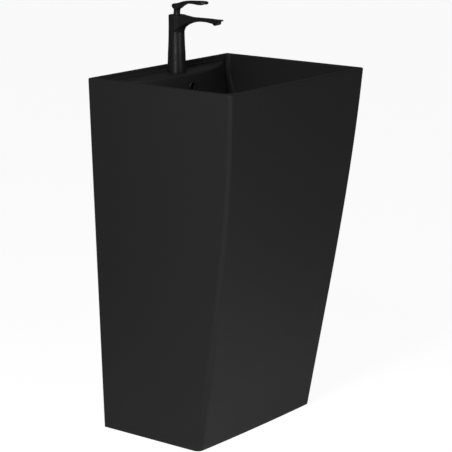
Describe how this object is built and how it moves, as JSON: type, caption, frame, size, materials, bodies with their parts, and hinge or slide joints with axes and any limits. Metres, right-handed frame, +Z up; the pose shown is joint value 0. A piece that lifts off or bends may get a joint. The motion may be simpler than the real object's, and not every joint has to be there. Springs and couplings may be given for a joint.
{
  "type": "pedestal washbasin",
  "caption": "Freestanding one-piece ceramic washbasin with tapered foot, recessed tap deck, single-lever mixer, push plug waste and bottle trap.",
  "frame": {"origin": "centre of the footprint box (foot, rim and back plane) on the floor", "axes": "+Z up, front of the basin towards -Y, wall behind at +Y, +X to the right seen from the front"},
  "size_m": [0.52, 0.413, 1.0084],
  "materials": {
    "black_glaze": "satin black glaze",
    "black_metal": "satin black lacquer on brass",
    "bare_brass": "machined",
    "steel": "zinc-plated",
    "chrome": "polished",
    "rubber": "moulded",
    "white_plastic": "moulded",
    "grey_plastic": "moulded",
    "disc_ceramic": "lapped"
  },
  "bodies": {
    "basin": {"basin_body": "black_glaze", "overflow_ring": "black_metal", "mixer_body": "black_metal", "trim_cap": "black_metal", "aerator_shell": "black_metal", "aerator_insert": "white_plastic", "aerator_seal": "rubber", "base_gasket": "rubber", "mounting_stud": "bare_brass", "horseshoe_gasket": "rubber", "horseshoe_washer": "steel", "mounting_nut": "bare_brass", "cartridge_housing": "grey_plastic", "cartridge_base": "grey_plastic", "cartridge_seals": "rubber", "cartridge_nut": "bare_brass", "fixed_disc": "disc_ceramic", "drain_body": "black_metal", "drain_seal": "rubber", "drain_gasket": "rubber", "drain_washer": "white_plastic", "drain_backnut": "bare_brass", "click_post": "steel", "plug_spring": "steel", "trap_inlet_nut": "chrome", "trap_inlet_washer": "rubber", "trap_inlet_tube": "chrome", "trap_neck_nut": "chrome", "trap_neck_washer": "rubber", "trap_body": "chrome", "trap_cup": "chrome", "trap_cup_seal": "rubber", "trap_outlet_nut": "chrome", "trap_outlet_washer": "rubber", "trap_outlet_pipe": "chrome"},
    "swivel": {"swivel_carrier": "white_plastic", "pivot_pin": "steel"},
    "lever": {"lever_handle": "black_metal", "lever_stem": "bare_brass", "dome_cover": "black_metal", "grub_screw": "steel", "screw_plug": "black_metal"},
    "disc": {"moving_disc": "disc_ceramic", "disc_driver": "white_plastic"},
    "plug": {"plug_cap": "black_metal", "plug_seal": "rubber", "plug_sleeve": "white_plastic"}
  },
  "joints": [
    {"name": "mixer_swivel", "type": "hinge", "parent": "basin", "child": "swivel", "pos_m": [0, 0.1565, 0.9613], "axis": [0, 0, 1], "range_deg": [-45, 45]},
    {"name": "lever_lift", "type": "hinge", "parent": "swivel", "child": "lever", "pos_m": [0, 0.1565, 0.9613], "axis": [-1, 0, 0], "range_deg": [0, 20]},
    {"name": "disc_slide", "type": "slide", "parent": "swivel", "child": "disc", "axis": [0, -1, 0], "range_m": [0, 0.004]},
    {"name": "plug_press", "type": "slide", "parent": "basin", "child": "plug", "axis": [0, 0, -1], "range_m": [0, 0.0075], "stiffness_N_per_m": 600, "springref_m": -0.008, "deforming": ["plug_spring"]}
  ],
  "couplings": [
    {"joint": "disc_slide", "follows": "lever_lift", "m_per_rad": 0.01127}
  ]
}
